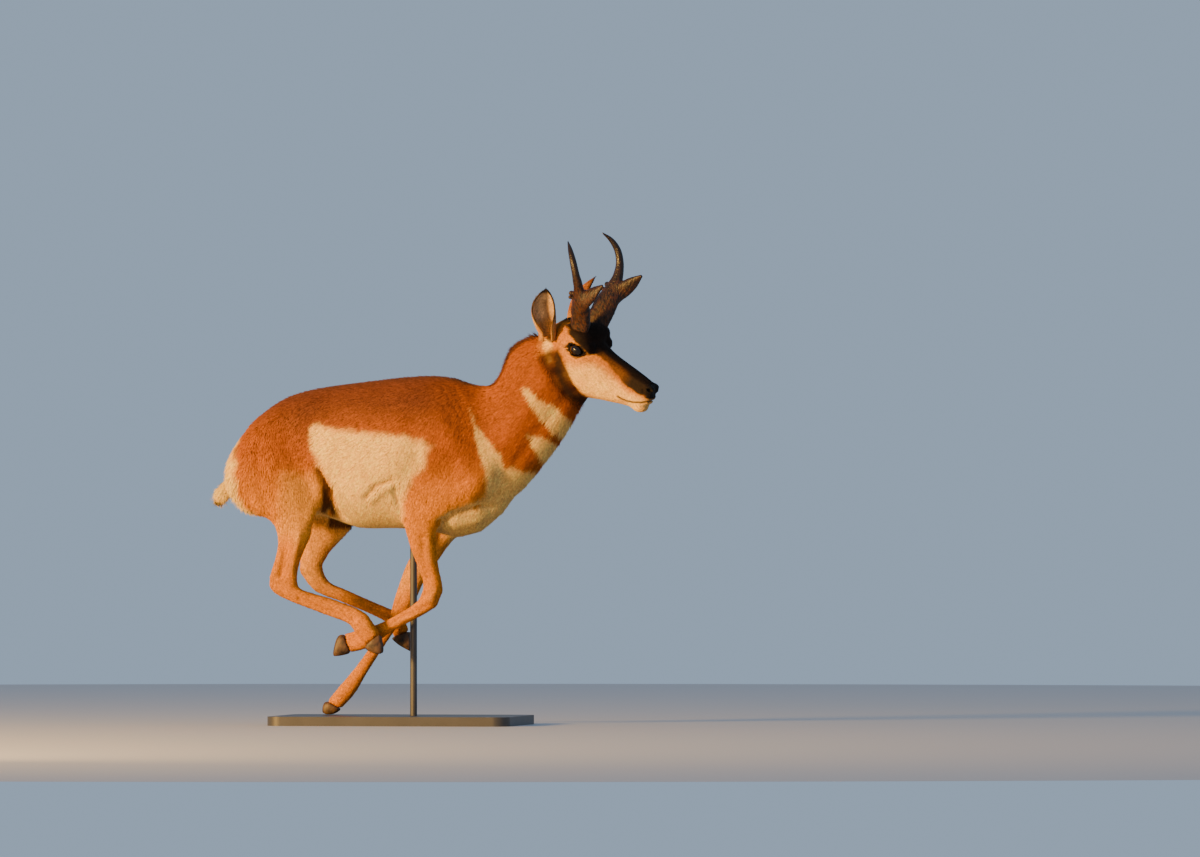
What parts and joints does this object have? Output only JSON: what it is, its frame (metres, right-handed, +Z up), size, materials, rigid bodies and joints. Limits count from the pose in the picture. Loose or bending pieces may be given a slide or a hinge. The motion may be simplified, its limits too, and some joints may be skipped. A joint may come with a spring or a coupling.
{
  "type": "pronghorn model",
  "caption": "Life-size still model of a pronghorn buck at full gallop, feet gathered under the body, on a plain display stand.",
  "frame": {"origin": "on the floor, under the middle of the model's box", "axes": "+X towards the front of the animal, +Y to its left, +Z up"},
  "size_m": [1.2014, 0.42, 1.2803],
  "materials": {
    "coat": "short dense rufous and white hair lying flat",
    "horn": "dark brown to black horn sheath, fibrous below, glossy at the tips",
    "hoof": "dark grey hoof horn, dull",
    "eye": "wet black",
    "stand": "matt dark grey paint"
  },
  "bodies": {
    "root": {"torso": "coat", "neck": "coat", "head": "coat", "tail": "coat", "ear_right": "coat", "horn_right": "horn", "eye_right": "eye", "ear_left": "coat", "horn_left": "horn", "eye_left": "eye", "hind_right_thigh": "coat", "hind_right_shank": "coat", "hind_right_shin": "coat", "hind_right_pastern": "coat", "hind_right_hoof_right": "hoof", "hind_right_hoof_left": "hoof", "hind_left_thigh": "coat", "hind_left_shank": "coat", "hind_left_shin": "coat", "hind_left_pastern": "coat", "hind_left_hoof_right": "hoof", "hind_left_hoof_left": "hoof", "fore_right_shoulder": "coat", "fore_right_forearm": "coat", "fore_right_shin": "coat", "fore_right_pastern": "coat", "fore_right_hoof_right": "hoof", "fore_right_hoof_left": "hoof", "fore_left_shoulder": "coat", "fore_left_forearm": "coat", "fore_left_shin": "coat", "fore_left_pastern": "coat", "fore_left_hoof_right": "hoof", "fore_left_hoof_left": "hoof", "stand_base": "stand", "stand_rod": "stand"}
  },
  "joints": []
}
